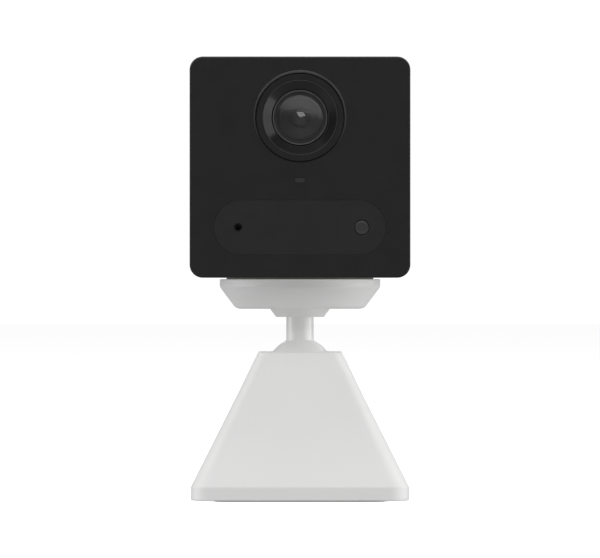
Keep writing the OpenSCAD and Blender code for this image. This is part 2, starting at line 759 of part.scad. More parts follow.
module board_chips() color("#222326") {
    y0 = main_board_y + board_t;
    for (c = [[9, -5, 5, 5], [15.8, 3.6, 2.0, 2.6], [11, 3.2, 1.6, 1.2], [17, -12, 1.8, 2.6],
        [-16, 8, 2, 1.5]])
        block([c[0] - c[2], y0, head_mid + c[1] - c[3]], [c[0] + c[2], y0 + 1.0, head_mid + c[1] + c[3]]);
    block([-10.2, y0, battery_z0 + battery_size[2] - 4.4],
        [-6.0, y0 + 3.4, battery_z0 + battery_size[2] - 1.4]);
}

module usb_socket() color(steel) {
    y0 = main_board_y + board_t;
    difference() {
        along_y(y0, back_y - head_wall - 0.1) translate([usb_x, usb_z]) pill(9.0, 3.2);
        along_y(y0 + 2, back_y) translate([usb_x, usb_z]) pill(8.3, 2.5);
    }
    block([usb_x - 3.3, y0 + 2, usb_z - 0.35], [usb_x + 3.3, back_y - head_wall - 0.9, usb_z + 0.35]);
}

module card_socket() color(steel) {
    difference() {
        block([-6.4, 7.6, card_z - 1.1], [7.4, back_y - head_wall - 0.1, card_z + 1.0]);
        block([-5.2, 8.2, card_z - 0.6], [6.2, back_y, card_z + 0.6]);
    }
}

module power_switch() color("#3a3a3a") {
    y0 = main_board_y + board_t;
    block([-3, y0, button_z - 3], [3, y0 + 3.5, button_z + 3]);
    rod_y(0, button_z, 1.7, y0 + 3.5, switch_tip_y);
}

module reset_switch() color("#3a3a3a") {
    y0 = main_board_y + board_t;
    block([reset_x - 2, y0, usb_z - 2], [reset_x + 2, y0 + 3, usb_z + 2]);
    rod_y(reset_x, usb_z, 0.9, y0 + 3, reset_tip_y);
}

module speaker() color("#4a4a4c") {
    y0 = back_y - head_wall - 1.5;
    difference() {
        union() {
            rod_y(0, speaker_z, speaker_r, y0 - 3.2, y0);
            rod_y(0, speaker_z, 5.6, y0 - 6.4, y0 - 3.2);
        }
        translate([0, y0 - 1.6, speaker_z]) rotate([-90, 0, 0])
            cylinder(r1 = 3, r2 = speaker_r - 0.8, h = 1.61);
    }
}

module speaker_gasket() color(black) {
    difference() {
        rod_y(0, speaker_z, speaker_r, back_y - head_wall - 1.5, back_y - head_wall);
        rod_y(0, speaker_z, speaker_r - 0.8, back_y - head_wall - 2, back_y);
    }
}

module antenna() color(copper) {
    z1 = head_z1 - head_wall;
    block([4, 12, z1 - 0.25], [20, 20, z1]);
    tube([[12, 16, z1 - 0.5], [11, 16, z1 - 0.9], [9, 15.8, z1 - 1.3], [6.6, 15.6, z1 - 1.7],
        [5, 15.2, z1 - 2.4], [4.6, 14.6, z1 - 3.4], [4.6, 13.6, z1 - 4.4], [4.6, 13.0, z1 - 4.8],
        [4.6, main_board_y + board_t, z1 - 4.8]], 0.4);
}

// The flat cable from the sensor board over the battery to the main board.
module sensor_ribbon() color("#8a5a24") {
    z0 = lens_z + 6;
    top = battery_z0 + battery_size[2] + 1.6;
    t = 0.25;
    y0 = sensor_board_y + 1;
    y1 = main_board_y;
    translate([-4, 0, 0]) rotate([90, 0, 90]) linear_extrude(8) polygon([
        [y0, z0], [y0 + t, z0], [y0 + t, top - 1], [y0 + 1, top], [y1 - 1, top], [y1 - t, top - 1],
        [y1 - t, top - 2.6], [y1, top - 2.6], [y1, top - 0.6], [y1 - 0.8, top + t], [y0 + 0.8, top + t],
        [y0, top - 0.8]]);
}

module keeper_plate() color(steel) {
    z0 = head_z0 + head_wall;
    difference() {
        translate([0, 1, z0]) linear_extrude(1.0) rrect(34, 34, 3);
        for (x = [-1, 1]) translate([x * 12, 13, z0 - 1]) cylinder(r = 1.2, h = 4);
    }
}

// The head's screws: four hold the chassis, four the main board, two the front board,
// and two the sensor board.
module head_screws() color(steel) {
    for (x = [-1, 1], z = [-1, 1]) translate([x * boss_x, chassis_y + chassis_t, head_mid + z * boss_z])
        rotate([-90, 0, 0]) screw(6, head_r = 1.6, head_h = 1.2);
    for (x = [-1, 1], z = [-8, 12]) translate([x * post_x, main_board_y + board_t, head_mid + z])
        rotate([-90, 0, 0]) screw(5, head_r = 1.2);
    for (x = [-1, 1]) translate([x * 11.5, front_board_y + 1, head_z0 + 5.0])
        rotate([-90, 0, 0]) screw(3, head_r = 1.4, head_h = 0.9, shank_r = 0.7);
    for (s = [-1, 1]) translate([s * 8.6, chassis_y + chassis_t, lens_z + s * 5.6])
        rotate([-90, 0, 0]) screw(6, head_r = 1.5, head_h = 1.0, shank_r = 0.7);
}

// ---- head: buttons and port cover ----

module power_button() color("#dededc") {
    difference() {
        union() {
            translate([0, 0, button_z]) rotate([-90, 0, 0]) rotate_extrude() polygon(concat(
                [[0, back_y - 1.5], [button_r, back_y - 1.5]],
                arc(button_r - 0.3, back_y + button_proud - 0.3, 0.3, 0, 90, 5),
                [[0, back_y + button_proud]]));
            rod_y(0, button_z, button_r + 0.8, back_y - head_wall - 0.9, back_y - head_wall - 0.3);
            rod_y(0, button_z, 3.4, back_y - head_wall - 0.9, back_y - 1.4);
            rod_y(0, button_z, 1.5, switch_tip_y + button_travel + 0.1, back_y - 1.4);
        }
        translate([0, back_y + button_proud + 15.7, button_z]) sphere(16);
    }
}

module reset_button() color("#9a9a98") {
    rod_y(reset_x, usb_z, 1.1, back_y - head_wall - 0.9, back_y - bay_depth - 0.1);
    rod_y(reset_x, usb_z, 1.7, back_y - head_wall - 0.9, back_y - head_wall - 0.15);
    rod_y(reset_x, usb_z, 0.8, reset_tip_y + reset_travel + 0.1, back_y - head_wall - 0.8);
}

module port_cover() color("#d8d8d6") {
    y0 = back_y - 2 * hinge_r;
    difference() {
        union() {
            intersection() {
                along_y(y0, back_y) translate([0, bay_z0 + bay_h / 2])
                    bay_outline(bay_w - 0.3, bay_h - 0.3, bay_r - 0.15);
                union() {
                    block([-bay_w, y0 - 1, hinge_z], [bay_w, back_y + 1, hinge_z + bay_h]);
                    rod_x(hinge_y, hinge_z, hinge_r, -bay_w / 2, bay_w / 2);
                }
            }
            along_y(back_y - head_wall, y0 + 0.2) translate([usb_x, usb_z]) pill(8.0, 2.2);
            rod_x(hinge_y, hinge_z, pin_r, -bay_w / 2 - 0.6, bay_w / 2 + 0.6);
        }
        rod_y(reset_x, usb_z, 1.5, y0 - 1, y0 + 0.35);
        // finger notch
        rod_x(back_y + 1.0, bay_z0 + bay_h + 0.2, 1.5, -4, 4);
    }
}

base_shell();
base_plate();
foot_pad();
ballast_plate();
spring_retainer();
seat_spring();
base_screws();
ball_seat();
ball_stud();
stem_collar();
magnet_cup();
magnet_yoke();
magnet_ring();
cup_screw();
grip_pad();
front_cover();
rear_housing();
lens_bezel();
lens_hood();
lens_barrel();
lens_retaining_ring();
front_lens();
lens_baffle();
inner_lens();
rear_lens();
lens_holder();
image_sensor();
sensor_board();
sensor_window();
motion_sensor_lens();
motion_sensor();
infrared_leds();
microphone();
microphone_gasket();
status_light_guide();
status_led();
front_board();
chassis();
battery();
battery_lead();
main_board();
shield_can();
board_chips();
usb_socket();
card_socket();
power_switch();
reset_switch();
speaker();
speaker_gasket();
antenna();
sensor_ribbon();
keeper_plate();
head_screws();
filter_frame();
filter_glass();
power_button();
reset_button();
port_cover();
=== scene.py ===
import json
import math

import bmesh
import bpy
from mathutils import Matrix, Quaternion, Vector
from mathutils.geometry import tessellate_polygon

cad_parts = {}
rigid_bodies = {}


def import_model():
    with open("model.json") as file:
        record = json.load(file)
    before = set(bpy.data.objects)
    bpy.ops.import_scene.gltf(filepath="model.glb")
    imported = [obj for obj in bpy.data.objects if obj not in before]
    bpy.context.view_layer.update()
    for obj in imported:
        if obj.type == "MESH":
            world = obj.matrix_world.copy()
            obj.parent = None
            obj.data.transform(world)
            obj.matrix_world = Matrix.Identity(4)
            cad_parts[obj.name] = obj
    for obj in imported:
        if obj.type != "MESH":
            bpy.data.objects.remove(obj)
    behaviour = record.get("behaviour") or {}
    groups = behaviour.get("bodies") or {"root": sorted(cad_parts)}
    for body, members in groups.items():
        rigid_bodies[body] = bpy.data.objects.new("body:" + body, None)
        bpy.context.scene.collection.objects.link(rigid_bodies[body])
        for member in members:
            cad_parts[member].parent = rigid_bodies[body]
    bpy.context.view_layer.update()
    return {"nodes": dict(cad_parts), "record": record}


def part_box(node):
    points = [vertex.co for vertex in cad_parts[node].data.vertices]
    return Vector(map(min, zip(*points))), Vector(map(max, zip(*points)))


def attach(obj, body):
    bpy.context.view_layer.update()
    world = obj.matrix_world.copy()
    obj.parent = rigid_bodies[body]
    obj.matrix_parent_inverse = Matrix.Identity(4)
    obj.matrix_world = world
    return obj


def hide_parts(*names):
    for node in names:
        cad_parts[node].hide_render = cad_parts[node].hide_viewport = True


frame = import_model()


# ---- sizes in millimetres: those of the CAD nodes taken from the imported frame, the others given ----

def span(node):
    """(lowest corner, highest corner) of a CAD node, in millimetres."""
    low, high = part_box(node)
    return [1000 * c for c in low], [1000 * c for c in high]


COVER_LOW, COVER_HIGH = span("front_cover")
REAR_LOW, REAR_HIGH = span("rear_housing")
RING_LOW, RING_HIGH = span("lens_bezel")
WINDOW_LOW, WINDOW_HIGH = span("sensor_window")
SHELL_LOW, SHELL_HIGH = span("base_shell")
FOOT_LOW, FOOT_HIGH = span("foot_pad")
BALL_LOW, BALL_HIGH = span("ball_stud")
CUP_LOW, CUP_HIGH = span("magnet_cup")
COLLAR_LOW, COLLAR_HIGH = span("stem_collar")
PAD_LOW, PAD_HIGH = span("grip_pad")
BUTTON_LOW, BUTTON_HIGH = span("power_button")
FLAP_LOW = span("port_cover")[0]
GUIDE_LOW, GUIDE_HIGH = span("status_light_guide")
MOTION_LOW, MOTION_HIGH = span("motion_sensor_lens")
GASKET_LOW, GASKET_HIGH = span("speaker_gasket")

# head: its front and back planes, the seam between its two shells, and its rounding
HEAD_W = COVER_HIGH[0] - COVER_LOW[0]
HEAD_Z0, HEAD_Z1 = REAR_LOW[2], REAR_HIGH[2]
HEAD_H = HEAD_Z1 - HEAD_Z0
HEAD_MID = (HEAD_Z0 + HEAD_Z1) / 2
BACK_Y = REAR_HIGH[1]
FACE_Y = -BACK_Y
SPLIT_Y = REAR_LOW[1]
SEAM = 0.04  # each shell ends this far from the split
HEAD_R = 3.0
WALL = 1.8
PLATE = 1.6  # thickness of the face

# what shows in the face: lens opening with its brow, dark pill, sensor eye and microphone, status light
FRONT = -FACE_Y  # the face, as a distance towards -Y
LENS_Z = (RING_LOW[2] + RING_HIGH[2]) / 2
RING_R = (RING_HIGH[0] - RING_LOW[0]) / 2
HOLE_R = RING_R + 0.05
BROW_R = RING_R + 0.44
BROW_UP = 0.25  # the brow's circle is this far above the lens axis
FUNNEL_R = 8.5
PILL_Z = (WINDOW_LOW[2] + WINDOW_HIGH[2]) / 2
PILL_W = WINDOW_HIGH[0] - WINDOW_LOW[0]
PILL_H = WINDOW_HIGH[2] - WINDOW_LOW[2]
SENSOR_X = (MOTION_LOW[0] + MOTION_HIGH[0]) / 2
RECESS = 0.65  # depth of the pill's recess
MIC_R = 0.95
STATUS_Z = (GUIDE_LOW[2] + GUIDE_HIGH[2]) / 2

# what shows in the back: speaker holes, button, and the bay of the port flap with its sockets
BUTTON_Z = (BUTTON_LOW[2] + BUTTON_HIGH[2]) / 2
SPEAKER_Z = (GASKET_LOW[2] + GASKET_HIGH[2]) / 2
SPEAKER_STEP, SPEAKER_HOLE_R = 1.9, 0.5  # from ring to ring of holes
BUTTON_R = 4.4
BAY_W, BAY_H, BAY_R = 23.0, 10.5, 1.6
BAY_Z0 = FLAP_LOW[2] - 0.15
BAY_MID = BAY_Z0 + BAY_H / 2
BAY_DEPTH = 1.3
USB_X, USB_Z = -5.2, BAY_Z0 + 7.0
CARD_X, CARD_Z = 0.5, BAY_Z0 + 2.1
RESET_X = 5.6

# stand: pyramid on an upright band, with the ball in its top
BASE_W = SHELL_HIGH[0] - SHELL_LOW[0]
BASE_Z0, BASE_Z1 = SHELL_LOW[2], SHELL_HIGH[2]
BAND_Z = 3.5  # top of the upright band
BASE_TOP_W = 19.0
BASE_R, BASE_TOP_R = 4.7, 2.6  # corners at the foot and at the top
BALL_R = (BALL_HIGH[0] - BALL_LOW[0]) / 2
BALL_Z = BALL_LOW[2] + BALL_R
PAD_R = (PAD_HIGH[0] - PAD_LOW[0]) / 2


# ---- outlines ----

def arc(cx, cy, r, a0, a1, n):
    """Points on a circle from angle a0 to a1 in degrees, both included."""
    return [(cx + r * math.cos(math.radians(a0 + (a1 - a0) * i / n)),
             cy + r * math.sin(math.radians(a0 + (a1 - a0) * i / n))) for i in range(n + 1)]


def box_outline(w, h, r, x=0, z=0, n=12, low_r=None):
    """A rectangle with round corners; low_r is the radius of its two lower corners."""
    low = r if low_r is None else low_r
    points = []
    for sx, sz, a, c in ((1, 1, 0, r), (-1, 1, 90, r), (-1, -1, 180, low), (1, -1, 270, low)):
        points += arc(x + sx * (w / 2 - c), z + sz * (h / 2 - c), c, a, a + 90, n)
    return points


def pill_outline(w, h, x=0, z=0, n=24):
    r = h / 2
    return arc(x + w / 2 - r, z, r, -90, 90, n) + arc(x - w / 2 + r, z, r, 90, 270, n)


def circle_outline(r, x=0, z=0, n=96):
    return [(x + r * math.cos(2 * math.pi * i / n), z + r * math.sin(2 * math.pi * i / n)) for i in range(n)]


# ---- mesh building ----

class Shape:
    """A closed mesh made of rings of points, bands between them and flat caps with holes."""

    def __init__(self):
        self.points = []
        self.faces = []
        self.flat = []

    def ring(self, points):
        first = len(self.points)
        self.points += [Vector(p) for p in points]
        return list(range(first, len(self.points)))

    def band(self, a, b, flat=False):
        n = len(a)
        for i in range(n):
            j = (i + 1) % n
            self.faces.append((a[i], a[j], b[j], b[i]))
            self.flat.append(flat)

    def bands(self, rings):
        for a, b in zip(rings, rings[1:]):
            self.band(a, b)

    def fan(self, ring, tip):
        for i in range(len(ring)):
            self.faces.append((ring[i], ring[(i + 1) % len(ring)], tip))
            self.flat.append(False)

    def cap(self, outer, holes=()):
        loops = [outer, *holes]
        order = [i for loop in loops for i in loop]
        for triangle in tessellate_polygon([[self.points[i] for i in loop] for loop in loops]):
            self.faces.append(tuple(order[i] for i in triangle))
            self.flat.append(True)

    def stack(self, rings):
        """A solid through the rings, with a flat cap at each end."""
        self.bands(rings)
        self.cap(rings[0])
        self.cap(rings[-1])

    def build(self, name, body, finish, nodes, sharp=35):
        """Makes the piece, which rides on body and stands for nodes. Edges over sharp degrees stay crisp."""
        mesh = bpy.data.meshes.new(name)
        mesh.from_pydata([p / 1000 for p in self.points], [], self.faces)
        tidy = bmesh.new()
        tidy.from_mesh(mesh)
        for face, flat in zip(tidy.faces, self.flat):
            face.smooth = not flat
        bmesh.ops.remove_doubles(tidy, verts=tidy.verts, dist=1e-7)
        bmesh.ops.recalc_face_normals(tidy, faces=tidy.faces)
        for edge in tidy.edges:
            edge.smooth = len(edge.link_faces) == 2 and edge.calc_face_angle(0) < math.radians(sharp)
        tidy.to_mesh(mesh)
        tidy.free()
        piece = bpy.data.objects.new(name, mesh)
        bpy.context.collection.objects.link(piece)
        mesh.materials.append(finish)
        level = piece.modifiers.new("flat_faces", "WEIGHTED_NORMAL")
        level.keep_sharp = True
        level.weight = 100
        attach(piece, body)
        if nodes:
            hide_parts(*nodes)
        return piece


def at_y(outline, y):
    return [(x, y, z) for x, z in outline]


def at_z(outline, z):
    return [(x, y, z) for x, y in outline]


def turned(name, body, finish, nodes, profile, axis="z", centre=(0, 0), n=128, sharp=35):
    """A closed profile of (radius, height) turned about an axis; on axis y, height is measured towards -Y."""
    shape = Shape()
    rings = []
    for r, height in profile:
        around = [centre] if r < 1e-6 else circle_outline(r, *centre, n)
        rings.append(shape.ring(at_z(around, height) if axis == "z" else at_y(around, -height)))
    loop = rings + [rings[0]] if len(rings[0]) > 1 and len(rings[-1]) > 1 else rings
    for a, b in zip(loop, loop[1:]):
        if len(a) == len(b) == n:
            shape.band(a, b)
        elif len(a) == n:
            shape.fan(a, b[0])
        elif len(b) == n:
            shape.fan(b, a[0])
    return shape.build(name, body, finish, nodes, sharp)


def round_in(shape, outline, start, r, steps, way=1, place=at_y):
    """Rings of a round edge: outline(r) at the plane start, and outline(0) at r further on, along way."""
    angles = [math.pi / 2 * k / steps for k in range(steps + 1)]
    return [shape.ring(place(outline(r * (1 - math.sin(a))), start + way * r * (1 - math.cos(a))))
            for a in angles]


def round_out(shape, outline, end, r, steps):
    """Rings of a round edge along Y: outline(0) at r before the plane end, and outline(r) at that plane."""
    angles = [math.pi / 2 * k / steps for k in range(steps + 1)]
    return [shape.ring(at_y(outline(r * (1 - math.cos(a))), end - r * (1 - math.sin(a)))) for a in angles]


def through(shape, outline, y0, y1, soft=0.06):
    """A hole along Y from plane y0 to plane y1 with a round edge at y0; returns its ring on each plane."""
    rings = round_in(shape, outline, y0, soft, 3, way=1 if y1 > y0 else -1)
    rings.append(shape.ring(at_y(outline(0), y1)))
    shape.bands(rings)
    return rings[0], rings[-1]


# ---- finishes ----

def node(tree, kind, **inputs):
    """A shader node with constant inputs."""
    made = tree.nodes.new(kind)
    for key, value in inputs.items():
        made.inputs[key.replace("_", " ")].default_value = value
    return made


def finish(name, color, rough, grain=0.12, depth=0.004, mottle=0.05, rough_mottle=0.06, metal=0.0, ior=1.5,
           spec=0.5, coat=0.0, stretch=(1, 1, 1), transmission=0.0, alpha=1.0, speck=None):
    """A moulded, painted or metal surface.

    grain and depth are the size and height of its texture in millimetres, mottle and rough_mottle are how far
    its colour and roughness vary, and speck is (colour, scale) of small spots.
    """
    mat = bpy.data.materials.new(name)
    mat.use_nodes = True
    tree = mat.node_tree
    shader = tree.nodes["Principled BSDF"]
    shader.inputs["Metallic"].default_value = metal
    shader.inputs["IOR"].default_value = ior
    shader.inputs["Specular IOR Level"].default_value = spec
    shader.inputs["Coat Weight"].default_value = coat
    shader.inputs["Coat Roughness"].default_value = 0.1
    shader.inputs["Transmission Weight"].default_value = transmission
    shader.inputs["Alpha"].default_value = alpha
    place = tree.nodes.new("ShaderNodeTexCoord")
    scale = tree.nodes.new("ShaderNodeMapping")
    scale.inputs["Scale"].default_value = stretch
    tree.links.new(place.outputs["Object"], scale.inputs["Vector"])

    broad = node(tree, "ShaderNodeTexNoise", Scale=70.0, Detail=4.0, Roughness=0.55)
    tree.links.new(scale.outputs["Vector"], broad.inputs["Vector"])
    tint = tree.nodes.new("ShaderNodeMix")
    tint.data_type = "RGBA"
    tint.inputs["A"].default_value = [max(0.0, c * (1 - mottle)) for c in color] + [1]
    tint.inputs["B"].default_value = [min(1.0, c * (1 + mottle)) for c in color] + [1]
    tree.links.new(broad.outputs["Fac"], tint.inputs["Factor"])
    tint_out = tint.outputs["Result"]
    if speck:
        spots = node(tree, "ShaderNodeTexNoise", Scale=speck[1], Detail=1.0)
        tree.links.new(scale.outputs["Vector"], spots.inputs["Vector"])
        cut = tree.nodes.new("ShaderNodeValToRGB")
        cut.color_ramp.elements[0].position = 0.62
        cut.color_ramp.elements[1].position = 0.70
        tree.links.new(spots.outputs["Fac"], cut.inputs["Fac"])
        dot = tree.nodes.new("ShaderNodeMix")
        dot.data_type = "RGBA"
        dot.inputs["B"].default_value = [*speck[0], 1]
        tree.links.new(cut.outputs["Color"], dot.inputs["Factor"])
        tree.links.new(tint_out, dot.inputs["A"])
        tint_out = dot.outputs["Result"]
    tree.links.new(tint_out, shader.inputs["Base Color"])

    cloud = node(tree, "ShaderNodeTexNoise", Scale=260.0, Detail=3.0)
    tree.links.new(scale.outputs["Vector"], cloud.inputs["Vector"])
    spread = tree.nodes.new("ShaderNodeMapRange")
    spread.inputs["To Min"].default_value = max(0.0, rough - rough_mottle)
    spread.inputs["To Max"].default_value = min(1.0, rough + rough_mottle)
    tree.links.new(cloud.outputs["Fac"], spread.inputs["Value"])
    tree.links.new(spread.outputs["Result"], shader.inputs["Roughness"])

    texture = node(tree, "ShaderNodeTexNoise", Scale=1000.0 / grain, Detail=2.0, Roughness=0.6)
    tree.links.new(scale.outputs["Vector"], texture.inputs["Vector"])
    bump = tree.nodes.new("ShaderNodeBump")
    bump.inputs["Strength"].default_value = 0.6
    bump.inputs["Distance"].default_value = depth / 1000
    tree.links.new(texture.outputs["Fac"], bump.inputs["Height"])
    tree.links.new(bump.outputs["Normal"], shader.inputs["Normal"])
    return mat


WHITE = finish("white_shell", (0.80, 0.80, 0.795), 0.42, grain=0.22, depth=0.0035, mottle=0.012)
WHITE_PAINT = finish("white_paint", (0.84, 0.84, 0.835), 0.30, grain=0.5, depth=0.002, mottle=0.01, coat=0.15)
BLACK = finish("black_face", (0.0065, 0.0065, 0.0066), 0.40, grain=0.16, mottle=0.15, spec=0.30)
BLACK_TRIM = finish("black_trim", (0.007, 0.007, 0.0071), 0.36, grain=0.10, depth=0.002, mottle=0.1, spec=0.30)
FUNNEL = finish("funnel_gloss", (0.004, 0.004, 0.0043), 0.16, grain=0.4, depth=0.001, mottle=0.1,
                rough_mottle=0.03)
# the funnel's lip: its gloss black made lighter, a painted highlight of the light its round edge catches
FUNNEL_LIP_HIGHLIGHT = finish("funnel_lip", (0.024, 0.024, 0.0245), 0.35, grain=0.2, depth=0.001, mottle=0.1)
WINDOW = finish("window_black", (0.0078, 0.0078, 0.008), 0.38, grain=0.3, depth=0.0015, mottle=0.1, spec=0.38)
LENS_DOT = finish("motion_lens", (0.021, 0.021, 0.0215), 0.35, grain=0.15, depth=0.003, mottle=0.1)
STATUS = finish("status_window", (0.022, 0.022, 0.0225), 0.30, grain=0.2, depth=0.001, mottle=0.1)
MATT_BLACK = finish("matt_black", (0.004, 0.004, 0.004), 0.6, grain=0.08, mottle=0.2)
INNER_BLACK = finish("baffle_black", (0.004, 0.004, 0.0042), 0.46, grain=0.1, depth=0.002, mottle=0.1, spec=0.3)
RIM = finish("barrel_rim", (0.075, 0.075, 0.076), 0.30, grain=0.3, depth=0.001, mottle=0.1)
PAD = finish("grip_rubber", (0.48, 0.48, 0.41), 0.62, grain=0.10, depth=0.012, mottle=0.12)
FOOT = finish("foot_rubber", (0.42, 0.42, 0.41), 0.65, depth=0.01)
FLAP = finish("flap_rubber", (0.76, 0.76, 0.755), 0.52, grain=0.25, depth=0.006, mottle=0.015)
STEEL = finish("zinc_steel", (0.50, 0.51, 0.53), 0.34, grain=0.08, depth=0.002, mottle=0.08, metal=1.0,
               stretch=(1, 1, 0.2))
NICKEL = finish("nickel", (0.58, 0.56, 0.52), 0.24, grain=0.3, depth=0.002, metal=1.0)
COPPER = finish("copper_tone", (0.60, 0.34, 0.17), 0.30, grain=0.2, depth=0.002, mottle=0.08, metal=1.0)
GREEN = finish("green_board", (0.03, 0.16, 0.08), 0.35, grain=0.5, depth=0.006, mottle=0.25, coat=0.3,
               speck=((0.55, 0.45, 0.2), 900.0))
CHIP = finish("chip_black", (0.02, 0.02, 0.022), 0.55, grain=0.1, mottle=0.2)
GREY = finish("grey_moulding", (0.18, 0.19, 0.20), 0.5, grain=0.2, depth=0.006, mottle=0.06)
CLEAR = finish("clear_moulding", (0.70, 0.70, 0.68), 0.12, grain=0.5, depth=0.001, mottle=0.03,
               transmission=0.6)
POUCH = finish("battery_wrap", (0.42, 0.44, 0.48), 0.36, grain=1.4, depth=0.05, mottle=0.06, metal=0.7)
LEAD = finish("lead_red", (0.42, 0.02, 0.02), 0.4, grain=0.3, depth=0.003, mottle=0.1)
AMBER = finish("amber_film", (0.38, 0.17, 0.04), 0.2, grain=0.6, depth=0.002, mottle=0.1, coat=0.4,
               stretch=(1, 0.2, 0.2))

# the two glasses that show: a clear sheen over the inside of the lens, and a dark one that ends the view
GLASS = finish("coated_glass", (0.004, 0.004, 0.005), 0.25, grain=0.8, depth=0.0002, mottle=0.3,
               rough_mottle=0.004, ior=2.3, alpha=0.20)
DEEP_GLASS = finish("second_glass", (0.024, 0.024, 0.026), 0.06, grain=0.6, depth=0.0002, mottle=0.3,
                    rough_mottle=0.02, ior=1.7)


def glass(name, tint):
    """Clear optical glass with faint dust-scale variation in its gloss and tint."""
    mat = bpy.data.materials.new(name)
    mat.use_nodes = True
    tree = mat.node_tree
    shader = tree.nodes["Principled BSDF"]
    shader.inputs["Transmission Weight"].default_value = 1.0
    shader.inputs["IOR"].default_value = 1.5
    place = tree.nodes.new("ShaderNodeTexCoord")
    haze = node(tree, "ShaderNodeTexNoise", Scale=400.0, Detail=3.0)
    tree.links.new(place.outputs["Object"], haze.inputs["Vector"])
    spread = tree.nodes.new("ShaderNodeMapRange")
    spread.inputs["To Min"].default_value = 0.0
    spread.inputs["To Max"].default_value = 0.02
    tree.links.new(haze.outputs["Fac"], spread.inputs["Value"])
    tree.links.new(spread.outputs["Result"], shader.inputs["Roughness"])
    tone = tree.nodes.new("ShaderNodeMix")
    tone.data_type = "RGBA"
    tone.inputs["A"].default_value = [*tint, 1]
    tone.inputs["B"].default_value = [*(0.94 * c for c in tint), 1]
    tree.links.new(haze.outputs["Fac"], tone.inputs["Factor"])
    tree.links.new(tone.outputs["Result"], shader.inputs["Base Color"])
    return mat


INNER_GLASS = glass("inner_glass", (0.25, 0.26, 0.28))
FILTER = glass("filter_glass", (0.45, 0.68, 0.75))

SLOT_FINISH = {
    "white_plastic": WHITE, "white_paint": WHITE_PAINT, "grey_plastic": GREY, "clear_plastic": CLEAR,
    "black_plastic": MATT_BLACK, "black_trim": BLACK_TRIM, "black_gloss": FUNNEL, "window_black": WINDOW,
    "grey_rubber": FOOT, "dark_rubber": PAD, "white_rubber": FLAP,
    "coated_glass": INNER_GLASS, "filter_blue": FILTER,
    "zinc_steel": STEEL, "nickel": NICKEL, "copper_tone": COPPER,
    "green_board": GREEN, "chip_black": CHIP, "battery_wrap": POUCH, "lead_red": LEAD, "amber_film": AMBER,
}

# every CAD part that stays gets the finish of its slot; the microphone behind its hole is dark
for part in frame["record"]["subparts"]:
    made_of = MATT_BLACK if part["node"].startswith("microphone") else SLOT_FINISH[part["material_slot"]]
    for holder in frame["nodes"][part["node"]].material_slots:
        holder.material = made_of


# ---- head: dark face shell ----

def head_outline(d):
    """The head seen from the front, d inside its side walls."""
    return box_outline(HEAD_W - 2 * d, HEAD_H - 2 * d, max(HEAD_R - d, 0.02), z=HEAD_MID)


def brow(shape, inner_y):
    """The lens opening and the brow over it: a 45 degree slope between two circles, deepest at the top."""
    n, soft = 144, 0.05
    foot = shape.ring(at_y(circle_outline(BROW_R, 0, LENS_Z + BROW_UP, n), FACE_Y))
    rim, lip, well, back = [], [], [], []
    for x, z in circle_outline(HOLE_R, 0, LENS_Z, n):
        proud = max(0.0, BROW_R - math.hypot(x, z - LENS_Z - BROW_UP))
        ux, uz = x / HOLE_R, (z - LENS_Z) / HOLE_R
        rim.append((x + soft * ux, FACE_Y - max(0.0, proud - soft), z + soft * uz))
        lip.append((x + 0.012 * ux, FACE_Y - max(0.0, proud - 0.03) + 0.01, z + 0.012 * uz))
        well.append((x, FACE_Y - max(0.0, proud - soft) + soft, z))
        back.append((x, inner_y, z))
    rings = [foot] + [shape.ring(r) for r in (rim, lip, well, back)]
    shape.bands(rings)
    return rings[0], rings[-1]


def face_shell():
    s = Shape()
    front_r, back_r, gap = 0.4, 0.12, 0.03
    floor_y, inner_y = FACE_Y + RECESS, FACE_Y + PLATE
    rings = round_in(s, head_outline, FACE_Y, front_r, 8)
    rings += round_out(s, head_outline, SPLIT_Y - SEAM, back_r, 3)
    rings.append(s.ring(at_y(head_outline(WALL), SPLIT_Y - SEAM)))
    rings.append(s.ring(at_y(head_outline(WALL), inner_y)))
    s.bands(rings)
    foot, well = brow(s, inner_y)

    def recess(d):
        return pill_outline(PILL_W + 2 * (gap + d), PILL_H + 2 * (gap + d), z=PILL_Z)

    def mic(d):
        return circle_outline(MIC_R + d, -SENSOR_X, PILL_Z, 40)

    def eye(d):
        return circle_outline(2.5 + d, SENSOR_X, PILL_Z, 40)

    def slit(d):
        return pill_outline(2.5 + 2 * d, 1.2 + 2 * d, z=STATUS_Z, n=12)

    recess_edge, recess_floor = through(s, recess, FACE_Y, floor_y, soft=0.03)
    mic_front, mic_back = through(s, mic, floor_y, inner_y, soft=0.02)
    eye_front, eye_back = through(s, eye, floor_y, inner_y, soft=0.02)
    slit_front, slit_back = through(s, slit, FACE_Y, inner_y)
    s.cap(recess_floor, [mic_front, eye_front])
    s.cap(rings[0], [foot, recess_edge, slit_front])
    s.cap(rings[-1], [well, mic_back, eye_back, slit_back])
    return s.build("face_shell", "head", BLACK, ["front_cover"])


# ---- head: pale rear shell ----

def speaker_spots():
    """Centres of the speaker holes: one in the middle and four rings round it."""
    rings = [(k * SPEAKER_STEP, 2 * math.pi * i / (6 * k)) for k in range(1, 5) for i in range(6 * k)]
    return [(r * math.cos(a), SPEAKER_Z + r * math.sin(a)) for r, a in [(0, 0)] + rings]


